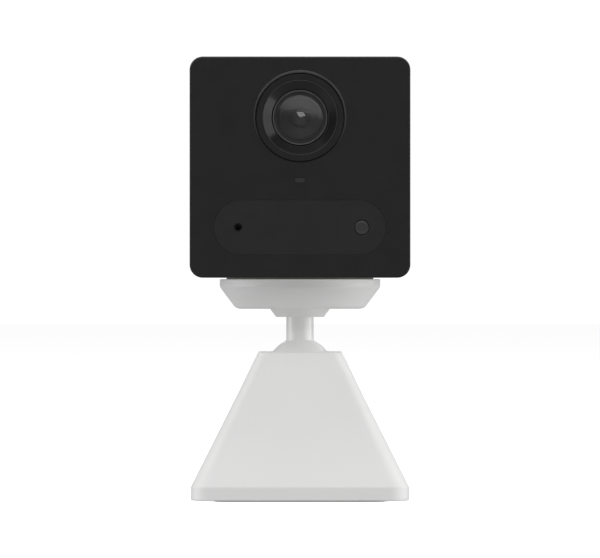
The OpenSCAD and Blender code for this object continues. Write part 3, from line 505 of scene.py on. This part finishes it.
def rear_shell():
    s = Shape()
    front_r, back_r = 0.12, 3.0
    floor_y, inner_y = BACK_Y - BAY_DEPTH, BACK_Y - WALL
    rings = [s.ring(at_y(head_outline(WALL), SPLIT_Y + SEAM))]
    rings += round_in(s, head_outline, SPLIT_Y + SEAM, front_r, 3)
    rings += round_out(s, head_outline, BACK_Y, back_r, 16)
    s.bands(rings)
    inner = s.ring(at_y(head_outline(WALL), inner_y))
    s.band(rings[0], inner)

    outer_holes, inner_holes, floor_holes = [], [], []
    for x, z in speaker_spots():
        front, back = through(s, lambda d: circle_outline(SPEAKER_HOLE_R + d, x, z, 20), BACK_Y, inner_y,
                              soft=0.08)
        outer_holes.append(front)
        inner_holes.append(back)

    def button_hole(d):
        return circle_outline(BUTTON_R + 0.05 + d, 0, BUTTON_Z, 72)

    def bay(d):
        return box_outline(BAY_W + 2 * d, BAY_H + 2 * d, BAY_R + d, z=BAY_MID, low_r=0.25 + d)

    front, back = through(s, button_hole, BACK_Y, inner_y, soft=0.15)
    outer_holes.append(front)
    inner_holes.append(back)
    front, bay_floor = through(s, bay, BACK_Y, floor_y, soft=0.15)
    outer_holes.append(front)
    ports = [lambda d: pill_outline(9.6 + 2 * d, 3.6 + 2 * d, USB_X, USB_Z),
             lambda d: box_outline(12 + 2 * d, 1.3 + 2 * d, 0.2 + d, CARD_X, CARD_Z, 4),
             lambda d: circle_outline(1.15 + d, RESET_X, USB_Z, 32)]
    for port in ports:
        front, back = through(s, port, floor_y, inner_y, soft=0.08)
        floor_holes.append(front)
        inner_holes.append(back)
    s.cap(bay_floor, floor_holes)
    s.cap(rings[-1], outer_holes)
    s.cap(inner, inner_holes)
    return s.build("rear_shell", "head", WHITE, ["rear_housing"])


# ---- head: lens ----

def lens_part(name, mat, nodes, profile, sharp=35):
    """A piece turned about the lens axis; the heights of its profile are distances towards -Y."""
    return turned(name, "head", mat, nodes, profile, "y", (0, LENS_Z), sharp=sharp)


def soft_ring(r0, r1, back, front, edge):
    """The section of a flat ring with round front edges."""
    outer = arc(r1 - edge, front - edge, edge, 0, 90, 5)
    inner = arc(r0 + edge, front - edge, edge, 90, 180, 5)
    return [(r0, back), (r1, back)] + outer + inner


def cap_curve(rim_r, rim, apex, n):
    """The section of a dome from its rim to its apex."""
    sag = apex - rim
    r = (rim_r * rim_r + sag * sag) / 2 / sag
    points = arc(0, apex - r, r, 90 - math.degrees(math.asin(rim_r / r)), 90, n)
    points[-1] = (0, apex)
    return points


def lens_group():
    """From the face inwards: trim ring, funnel, tube, lock ring, front glass, baffle, second glass."""
    tube_front, tube_r, tube_inner_r = FRONT - 0.86, 6.2, 5.92
    seat_r, seat = 5.45, 23.0
    dome_r, dome_back, dome_rim, dome_apex = 5.38, 21.8, 23.3, 24.3
    deep_r, deep_back, deep_rim, deep_apex = 3.0, 16.4, 18.05, 18.9

    lens_part("trim_ring", BLACK_TRIM, ["lens_bezel"],
              soft_ring(FUNNEL_R + 0.01, RING_R - 0.12, FRONT - 2.4, FRONT + 0.3, 0.16))
    lens_part("lens_funnel", FUNNEL, ["lens_hood"],
              [(6.38, FRONT - 3.4), (10.7, FRONT - 3.4), (10.7, FRONT - 1.62), (HOLE_R, FRONT - 1.62),
               (HOLE_R, FRONT - 2.5), (FUNNEL_R, FRONT - 2.5), (FUNNEL_R, FRONT + 0.18), (8.34, FRONT + 0.26),
               (6.50, FRONT - 0.85), (6.42, FRONT - 0.91), (6.38, FRONT - 1.0)])
    # a ring on the funnel's edge in a lighter finish: a painted highlight of its round edge
    lens_part("funnel_lip", FUNNEL_LIP_HIGHLIGHT, [], soft_ring(8.34, FUNNEL_R, FRONT + 0.2, FRONT + 0.32, 0.05))
    lens_part("lens_barrel_tube", RIM, ["lens_barrel"],
              [(5.5, 17.9), (5.5, 10.1), (4.2, 10.1), (3.6, 12.0), (3.6, 14.0), (3.05, 14.1), (3.05, 19.6),
               (4.6, 19.7), (seat_r, 19.8), (seat_r, seat), (tube_inner_r, seat),
               (tube_inner_r, tube_front - 0.16)] +
              arc(tube_r - 0.14, tube_front - 0.14, 0.14, 180, 0, 10) +
              [(tube_r, tube_front - 0.3), (tube_r, 18.2), (5.6, 18.2)])
    lens_part("lens_lock_ring", MATT_BLACK, ["lens_retaining_ring"],
              [(seat_r, seat + 0.02), (5.9, seat + 0.02), (5.9, seat + 0.5), (5.84, seat + 0.56),
               (5.32, seat + 0.56), (5.26, seat + 0.5), (5.26, seat + 0.42), (5.42, seat + 0.36)])
    lens_part("dome_glass", GLASS, ["front_lens"],
              [(0, dome_back), (dome_r, dome_back)] + cap_curve(dome_r, dome_rim, dome_apex, 36))
    lens_part("stepped_baffle", INNER_BLACK, ["lens_baffle"],
              [(2.42, 19.95), (dome_r, 19.95), (dome_r, 21.72), (4.52, 21.72), (4.46, 21.68), (4.42, 21.3),
               (2.62, 20.55), (2.5, 20.5), (2.42, 20.4)], sharp=25)
    lens_part("second_glass", DEEP_GLASS, ["inner_lens"],
              [(0, deep_back), (deep_r, deep_back)] + cap_curve(deep_r, deep_rim, deep_apex, 28))


# ---- head: sensor window and what shows in it ----

def face_window():
    s = Shape()
    y0, y1 = WINDOW_LOW[1], WINDOW_HIGH[1]

    def outline(d):
        return pill_outline(PILL_W - 2 * d, PILL_H - 2 * d, z=PILL_Z)

    def mic(d):
        return circle_outline(MIC_R + d, -SENSOR_X, PILL_Z, 48)

    def eye(d):
        return circle_outline(1.72 + d, SENSOR_X, PILL_Z, 64)

    rings = round_in(s, outline, y0, 0.04, 4)
    rings.append(s.ring(at_y(outline(0), y1)))
    s.bands(rings)
    mic_front, mic_back = through(s, mic, y0, y1, soft=0.02)
    eye_front, eye_back = through(s, eye, y0, y1, soft=0.07)
    s.cap(rings[0], [mic_front, eye_front])
    s.cap(rings[-1], [mic_back, eye_back])
    return s.build("face_window", "head", WINDOW, ["sensor_window"])


def motion_eye():
    """A low dome in the pill, on a wider foot behind it."""
    r, foot_r = 1.54, 2.4
    foot = [(0, FRONT - 1.5), (foot_r, FRONT - 1.5), (foot_r, FRONT - 0.7), (r, FRONT - 0.7), (r, FRONT - 0.12)]
    edge = arc(r - 0.1, FRONT - 0.12, 0.1, 0, 80, 4)
    dome = [(1.1, FRONT + 0.01), (0.6, FRONT + 0.03), (0, FRONT + 0.04)]
    return turned("motion_lens", "head", LENS_DOT, ["motion_sensor_lens"], foot + edge + dome,
                  "y", (SENSOR_X, PILL_Z), n=64, sharp=50)


def status_window():
    s = Shape()
    step_y = FACE_Y + PLATE

    def outline(d):
        return pill_outline(2.4 - 2 * d, 1.1 - 2 * d, z=STATUS_Z, n=12)

    flange = pill_outline(3.4, 2.1, z=STATUS_Z, n=12)
    rings = round_in(s, outline, GUIDE_LOW[1], 0.05, 3)
    rings.append(s.ring(at_y(outline(0), step_y)))
    rings += [s.ring(at_y(flange, y)) for y in (step_y, GUIDE_HIGH[1])]
    s.stack(rings)
    return s.build("status_window", "head", STATUS, ["status_light_guide"])


# ---- head: back button and port flap ----

def back_button():
    """A dished cap with a flange behind the wall and a stem towards its switch."""
    top, hollow, dish_r, stem_r, flange_r = -BUTTON_HIGH[1], 0.34, 4.05, 1.5, 5.2
    dish = [(dish_r * t, top + hollow * (1 - t * t)) for t in (0, 0.15, 0.3, 0.45, 0.6, 0.75, 0.9, 1.0)]
    wall, inner = -(BACK_Y - 1.5), -(BACK_Y - WALL)
    return turned("back_button", "power_button", WHITE, ["power_button"],
                  dish + [(BUTTON_R - 0.12, top + 0.08), (BUTTON_R - 0.02, top + 0.2), (BUTTON_R, top + 0.3),
                          (BUTTON_R, wall), (3.4, wall), (3.4, inner + 0.3), (flange_r, inner + 0.3),
                          (flange_r, inner + 0.9), (stem_r, inner + 0.9), (stem_r, -BUTTON_LOW[1]),
                          (0, -BUTTON_LOW[1])],
                  "y", (0, BUTTON_Z), sharp=50)


HINGE_R = 0.575
FLAP_W = BAY_W - 0.3
FLAP_Z0, FLAP_Z1 = BAY_Z0 + 0.15, BAY_Z0 + BAY_H - 0.15
FLAP_FRONT = BACK_Y - 1.15
FLAP_R = 1.45


def flap_column(x):
    """The flap's section at x: up its inside, over the top and its finger notch, down to the round low edge."""
    soft, notch_half, notch_depth = 0.18, 3.8, 0.85
    edge = abs(x) - (FLAP_W / 2 - FLAP_R)
    top = FLAP_Z1 if edge <= 0 else FLAP_Z1 - FLAP_R + math.sqrt(max(0.0, FLAP_R ** 2 - edge ** 2))
    t = min(1.0, abs(x) / notch_half)
    dip = notch_depth * 0.5 * (1 + math.cos(math.pi * t ** 3)) if t < 1 else 0.0
    section = [(FLAP_FRONT, FLAP_Z0 + HINGE_R), (FLAP_FRONT, top - soft)]
    section += [(FLAP_FRONT + soft - soft * math.cos(a), top - soft + soft * math.sin(a))
                for a in (math.pi / 6, math.pi / 3, math.pi / 2)]
    section += [(BACK_Y - soft - dip, top), (BACK_Y - soft * 0.5 - dip, top - soft * 0.14),
                (BACK_Y - soft * 0.14 - dip, top - soft * 0.5), (BACK_Y - dip, top - soft),
                (BACK_Y - dip * 0.55, top - soft - 0.5), (BACK_Y - dip * 0.12, top - soft - 1.0),
                (BACK_Y, top - soft - 1.35), (BACK_Y, FLAP_Z0 + HINGE_R + 0.4)]
    section += [(BACK_Y - HINGE_R + HINGE_R * math.cos(a), FLAP_Z0 + HINGE_R - HINGE_R * math.sin(a))
                for a in [math.pi * k / 12 for k in range(12)]]
    return [(x, y, z) for y, z in section]


def port_flap():
    s = Shape()
    left = [-FLAP_W / 2 + FLAP_R * (1 - math.cos(math.pi / 2 * k / 10)) for k in range(10)]
    left[0] += 0.02
    middle = [-FLAP_W / 2 + FLAP_R + (FLAP_W - 2 * FLAP_R) * k / 48 for k in range(49)]
    s.stack([s.ring(flap_column(x)) for x in left + middle + [-x for x in reversed(left)]])
    return s.build("port_flap", "port_cover", FLAP, ["port_cover"], sharp=40)


def port_plug():
    """The plug on the flap's inside that fills the charging socket."""
    s = Shape()
    tip = BACK_Y - WALL
    s.stack([s.ring(at_y(pill_outline(8.0 - 2 * d, 2.2 - 2 * d, USB_X, USB_Z, 12), y))
             for d, y in ((0, FLAP_FRONT + 0.1), (0, tip + 0.2), (0.1, tip + 0.05), (0.2, tip + 0.02))])
    return s.build("port_plug", "port_cover", FLAP, [])


def port_pin(name, side):
    """One of the flap's two hinge pins, from inside its end to the hole in the bay's wall."""
    s = Shape()
    turn = [2 * math.pi * i / 20 for i in range(20)]
    y, z = BACK_Y - HINGE_R, FLAP_Z0 + HINGE_R
    s.stack([s.ring([(x * side, y + r * math.cos(a), z + r * math.sin(a)) for a in turn])
             for x, r in ((FLAP_W / 2 - 0.4, 0.35), (BAY_W / 2 + 0.5, 0.35), (BAY_W / 2 + 0.6, 0.25))])
    return s.build(name, "port_cover", FLAP, [])


# ---- stand ----

SLOPE = (BASE_W - BASE_TOP_W) / 2 / (BASE_Z1 - BAND_Z)


def half_width(z):
    """Half the pyramid's width at the height z, or of the same slope run on below it."""
    return BASE_W / 2 - (z - BAND_Z) * SLOPE


def corner_r(z):
    return BASE_R - (BASE_R - BASE_TOP_R) * max(0.0, z - BAND_Z) / (BASE_Z1 - BAND_Z)


def square(shape, half, r, z):
    return shape.ring(at_z(box_outline(2 * half, 2 * half, r, n=14), z))


def stand_outside(shape):
    """Rings of the outside: foot edge, upright band, soft turn, slanted side and soft top edge."""
    foot_edge, turn, top_edge = 0.3, 0.35, 0.45
    lean = math.atan(SLOPE)
    rings = [square(shape, BASE_W / 2 - 2.0, BASE_TOP_R, BASE_Z0)]
    rings += round_in(shape, lambda d: box_outline(BASE_W - 2 * d, BASE_W - 2 * d, BASE_R - d, n=14), BASE_Z0,
                      foot_edge, 4, place=at_z)
    turn_end = BAND_Z + turn * math.cos(lean)
    for k in range(9):
        t = k / 8
        z = (1 - t) ** 2 * (BAND_Z - turn) + 2 * t * (1 - t) * BAND_Z + t * t * turn_end
        half = ((1 - t) ** 2 + 2 * t * (1 - t)) * BASE_W / 2 + t * t * half_width(turn_end)
        rings.append(square(shape, half, corner_r(z), z))
    for k in range(1, 7):
        z = BAND_Z + turn + (BASE_Z1 - 0.6 - BAND_Z - turn) * k / 6
        rings.append(square(shape, half_width(z), corner_r(z), z))
    top_half = half_width(BASE_Z1) - top_edge * math.tan((math.pi / 2 - lean) / 2)
    for k in range(7):
        a = lean + (math.pi / 2 - lean) * k / 6
        z = BASE_Z1 - top_edge + top_edge * math.sin(a)
        rings.append(square(shape, top_half + top_edge * math.cos(a), corner_r(z) - 0.3 * k / 6, z))
    return rings


def stand_socket(shape):
    """Rings of the ball's socket, from its mouth at the top down to the seat's bore and the roof inside."""
    socket_r = BALL_R + 0.05
    bore_r, bore_z, roof_z = 8.2, 20.0, 26.0
    mouth_a = math.degrees(math.asin((BASE_Z1 - 0.25 - BALL_Z) / socket_r))
    mouth_r = socket_r * math.cos(math.radians(mouth_a))
    steps = [(mouth_r + 0.25, BASE_Z1), (mouth_r + 0.12, BASE_Z1 - 0.03), (mouth_r + 0.03, BASE_Z1 - 0.12)]
    steps += [(r, BALL_Z + z) for r, z in reversed(arc(0, 0, socket_r, 0, mouth_a, 10))]
    steps += [(bore_r, BALL_Z), (bore_r, bore_z), (10.0, bore_z), (10.0, roof_z)]
    return [shape.ring(at_z(circle_outline(r, 0, 0, 128), z)) for r, z in steps]


def stand_shell():
    s = Shape()
    outside = stand_outside(s)
    s.bands(outside)
    socket = stand_socket(s)
    s.bands(socket)
    s.cap(outside[-1], [socket[0]])
    inside = [square(s, half_width(z) - wall, BASE_TOP_R, z)
              for z, wall in ((BAND_Z, 2.0), (14.0, 2.24), (26.0, 2.24))]
    s.bands([outside[0]] + inside)
    s.cap(inside[-1], [socket[-1]])
    return s.build("stand_shell", "base", WHITE, ["base_shell"])


def stand_foot():
    """The rubber pad under the stand, with access holes for the two wall screws."""
    s = Shape()
    w, top = FOOT_HIGH[0] - FOOT_LOW[0], FOOT_HIGH[2]
    screw_x, hole_r = 14, 4.6

    def outline(d):
        return box_outline(w - 2 * d, w - 2 * d, 3 - d)

    rings = round_in(s, outline, 0, 0.15, 3, place=at_z)
    rings.append(s.ring(at_z(outline(0), top)))
    s.bands(rings)
    low, high = [], []
    for x in (-screw_x, screw_x):
        hole = [s.ring(at_z(circle_outline(r, x, 0, 64), z))
                for r, z in ((hole_r + 0.1, 0), (hole_r, 0.1), (hole_r, top))]
        s.bands(hole)
        low.append(hole[0])
        high.append(hole[-1])
    s.cap(rings[0], low)
    s.cap(rings[-1], high)
    return s.build("stand_foot", "base", FOOT, ["foot_pad"])


STEM_R = 3.14


def ball_and_stem():
    """The ball, a fillet that touches it at join_a degrees, and the stem up to the cup."""
    neck = 0.7
    fillet_x = STEM_R + neck
    fillet_z = math.sqrt((BALL_R + neck) ** 2 - fillet_x ** 2)
    join_a = math.degrees(math.atan2(fillet_z, fillet_x))
    ball = arc(0, BALL_Z, BALL_R, -90, join_a, 40)
    ball[0] = (0, BALL_Z - BALL_R)
    fillet = arc(fillet_x, BALL_Z + fillet_z, neck, 180 + join_a, 180, 8)
    return turned("ball_and_stem", "stem", WHITE_PAINT, ["ball_stud"],
                  ball + fillet[1:] + [(STEM_R, CUP_LOW[2] - 0.02), (0, CUP_LOW[2] - 0.02)])


def collar_ring():
    z0, z1 = COLLAR_LOW[2], COLLAR_HIGH[2]
    low_r, high_r, edge = 5.75, 6.9, 0.35
    return turned("stem_collar_ring", "stem", WHITE, ["stem_collar"],
                  [(STEM_R + 0.01, z0 + 0.1), (STEM_R + 0.35, z0)] +
                  arc(low_r - 0.42, z0 + edge, edge, -90, -25, 6) +
                  [(high_r - 0.02, z1 - 0.02), (high_r, z1), (STEM_R + 0.01, z1)])


def cup_shell():
    """The dish: a round foot, a cone, a soft turn into the upright rim, and the pad's seat."""
    cup_r = (CUP_HIGH[0] - CUP_LOW[0]) / 2
    z0, z1, seat_z = CUP_LOW[2], CUP_HIGH[2], PAD_LOW[2]
    foot_r, rim_z, foot_edge, rim_edge = 14.7, 48.8, 2.0, 0.25
    bore_r, hollow_r, floor = 1.4, 15.2, 1.6
    slant = math.degrees(math.atan2(cup_r - foot_r, rim_z - z0))
    tangent = foot_edge * math.tan(math.radians((90 - slant) / 2))
    bottom = arc(foot_r - tangent, z0 + foot_edge, foot_edge, -90, -slant, 14)
    turn = 0.5
    cone_r, cone_z = cup_r - turn * math.sin(math.radians(slant)), rim_z - turn * math.cos(math.radians(slant))
    knee = []
    for t in [k / 6 for k in range(7)]:
        knee.append(((1 - t) ** 2 * cone_r + 2 * t * (1 - t) * cup_r + t * t * cup_r,
                     (1 - t) ** 2 * cone_z + 2 * t * (1 - t) * rim_z + t * t * (rim_z + turn)))
    return turned("cup_shell", "stem", WHITE, ["magnet_cup"],
                  [(bore_r, z0)] + bottom + knee + arc(cup_r - rim_edge, z1 - rim_edge, rim_edge, 0, 90, 8) +
                  [(PAD_R + 0.2, z1), (PAD_R + 0.1, z1 - 0.1), (PAD_R + 0.1, seat_z), (hollow_r, seat_z),
                   (hollow_r, z0 + floor), (bore_r, z0 + floor)])


def pad_disc():
    z0, z1, edge = PAD_LOW[2], PAD_HIGH[2], 0.12
    return turned("pad_disc", "pad", PAD, ["grip_pad"],
                  [(0, z0), (PAD_R, z0), (PAD_R, z1 - edge)] +
                  arc(PAD_R - edge, z1 - edge, edge, 0, 90, 4) + [(0, z1)])


face_shell()
rear_shell()
lens_group()
face_window()
motion_eye()
status_window()
back_button()
port_flap()
port_plug()
port_pin("port_pin_left", -1)
port_pin("port_pin_right", 1)
stand_shell()
stand_foot()
ball_and_stem()
collar_ring()
cup_shell()
pad_disc()


# ---- floor, light and camera ----

def floor():
    """A wide white floor just under the foot; it glows a little, so that it is as white as the background."""
    reach, under = 6.0, -0.00005
    mesh = bpy.data.meshes.new("floor")
    corners = [(-reach, -reach, under), (reach, -reach, under), (reach, reach, under), (-reach, reach, under)]
    mesh.from_pydata(corners, [], [(0, 1, 2, 3)])
    piece = bpy.data.objects.new("floor", mesh)
    bpy.context.collection.objects.link(piece)
    mat = bpy.data.materials.new("floor_white")
    mat.use_nodes = True
    shader = mat.node_tree.nodes["Principled BSDF"]
    shader.inputs["Base Color"].default_value = (0.92, 0.92, 0.92, 1)
    shader.inputs["Roughness"].default_value = 0.9
    shader.inputs["Specular IOR Level"].default_value = 0.0
    shader.inputs["Emission Color"].default_value = (1, 1, 1, 1)
    shader.inputs["Emission Strength"].default_value = 0.75
    mesh.materials.append(mat)
    piece.visible_diffuse = False
    piece.visible_glossy = False
    piece.visible_shadow = False


def studio_air():
    """The light from all round: dim at the horizon, brighter below and above. The camera sees plain white."""
    world = bpy.data.worlds.new("studio")
    bpy.context.scene.world = world
    world.use_nodes = True
    tree = world.node_tree
    tree.nodes.clear()
    out = tree.nodes.new("ShaderNodeOutputWorld")
    place = tree.nodes.new("ShaderNodeTexCoord")
    split = tree.nodes.new("ShaderNodeSeparateXYZ")
    tree.links.new(place.outputs["Generated"], split.inputs["Vector"])
    height = tree.nodes.new("ShaderNodeMapRange")
    height.inputs["From Min"].default_value = -1.0
    height.inputs["From Max"].default_value = 1.0
    tree.links.new(split.outputs["Z"], height.inputs["Value"])
    ramp = tree.nodes.new("ShaderNodeValToRGB")
    stops = ramp.color_ramp.elements
    stops[0].color = (0.30, 0.30, 0.30, 1)
    stops[1].color = (0.32, 0.32, 0.32, 1)
    for at, level in ((0.12, 0.34), (0.25, 0.45), (0.38, 0.38), (0.47, 0.20), (0.53, 0.15), (0.75, 0.18)):
        stop = stops.new(at)
        stop.color = (level, level, level, 1)
    tree.links.new(height.outputs["Result"], ramp.inputs["Fac"])
    lit = tree.nodes.new("ShaderNodeBackground")
    tree.links.new(ramp.outputs["Color"], lit.inputs["Color"])
    shown = tree.nodes.new("ShaderNodeBackground")
    shown.inputs["Color"].default_value = (1, 1, 1, 1)
    shown.inputs["Strength"].default_value = 1.05
    path = tree.nodes.new("ShaderNodeLightPath")
    mix = tree.nodes.new("ShaderNodeMixShader")
    tree.links.new(path.outputs["Is Camera Ray"], mix.inputs["Fac"])
    tree.links.new(lit.outputs["Background"], mix.inputs[1])
    tree.links.new(shown.outputs["Background"], mix.inputs[2])
    tree.links.new(mix.outputs["Shader"], out.inputs["Surface"])


def light_groups():
    """Who a light reaches: the two lens glasses get only their own softboxes; the others are flagged off."""
    glasses = [bpy.data.objects[n] for n in ("dome_glass", "second_glass")]
    rest = bpy.data.collections.new("all_but_lens_glass")
    for piece in glasses:
        rest.objects.link(piece)
    for entry in rest.collection_objects:
        entry.light_linking.link_state = "EXCLUDE"
    own = {}
    for piece in glasses + [bpy.data.objects["face_shell"]]:
        own[piece.name] = bpy.data.collections.new("only_" + piece.name)
        own[piece.name].objects.link(piece)
    return rest, own


ALL_BUT_GLASS, ONLY = light_groups()


def softbox(name, place, aim, size, level, only=None, roll=0):
    """A rectangular softbox at place, in metres, as bright as level times a plain white."""
    light = bpy.data.lights.new(name, "AREA")
    light.shape = "RECTANGLE"
    light.size, light.size_y = size
    light.energy = level * math.pi * size[0] * size[1]
    lamp = bpy.data.objects.new(name, light)
    bpy.context.collection.objects.link(lamp)
    lamp.location = place
    facing = (Vector(aim) - Vector(place)).to_track_quat("-Z", "Y")
    lamp.rotation_euler = (facing @ Quaternion((0, 0, 1), math.radians(roll))).to_euler()
    lamp.visible_camera = False
    lamp.light_linking.receiver_collection = ONLY[only] if only else ALL_BUT_GLASS
    return lamp


floor()
studio_air()

# softboxes that light the whole camera, then those of one piece each, which place its highlights
middle = (0, 0, 0.06)
lens = (0, FACE_Y / 1000, LENS_Z / 1000)
softbox("key_right", (1.35, -0.72, 0.10), middle, (0.70, 1.70), 1.1)
softbox("front_high", (-0.22, -1.30, 0.98), middle, (1.6, 0.85), 2.55)
softbox("zenith", (0, -0.02, 1.5), middle, (1.7, 0.6), 1.1)
softbox("strip_left", (-1.40, 0.02, 0.40), middle, (0.8, 2.0), 2.5)
softbox("strip_right", (1.40, 0.08, 0.38), middle, (0.8, 2.0), 2.6)
softbox("bounce", (0, -1.40, -0.38), middle, (2.4, 0.5), 0.75)
softbox("back_high", (0.20, 1.40, 1.15), middle, (1.6, 0.9), 2.0)
softbox("brow_arch", (0, -0.01, 0.75), lens, (3.2, 0.36), 2.6, only="face_shell")
softbox("lens_panel", (0, -0.33, 0.355), lens, (2.6, 0.44), 1.95, only="dome_glass", roll=-16)
softbox("lens_glint", (0.078, -0.474, 0.335), lens, (0.40, 0.36), 5.6, only="second_glass", roll=27)


def aimed_camera():
    """Level and straight in front. aim_z is the height of the picture's middle, wide its width at the face."""
    aim_z, wide, distance, sensor = 0.05063, 0.13576, 1.5, 36.0
    data = bpy.data.cameras.new("camera")
    camera = bpy.data.objects.new("camera", data)
    bpy.context.collection.objects.link(camera)
    camera.location = (0, FACE_Y / 1000 - distance, aim_z)
    camera.rotation_euler = (math.pi / 2, 0, 0)
    data.sensor_width = sensor
    data.lens = sensor * distance / wide
    data.clip_start = 0.01
    data.clip_end = 50
    bpy.context.scene.camera = camera


aimed_camera()

view = bpy.context.scene.view_settings
view.view_transform = "Standard"
view.look = "None"
view.exposure = 0.0
view.gamma = 1.0
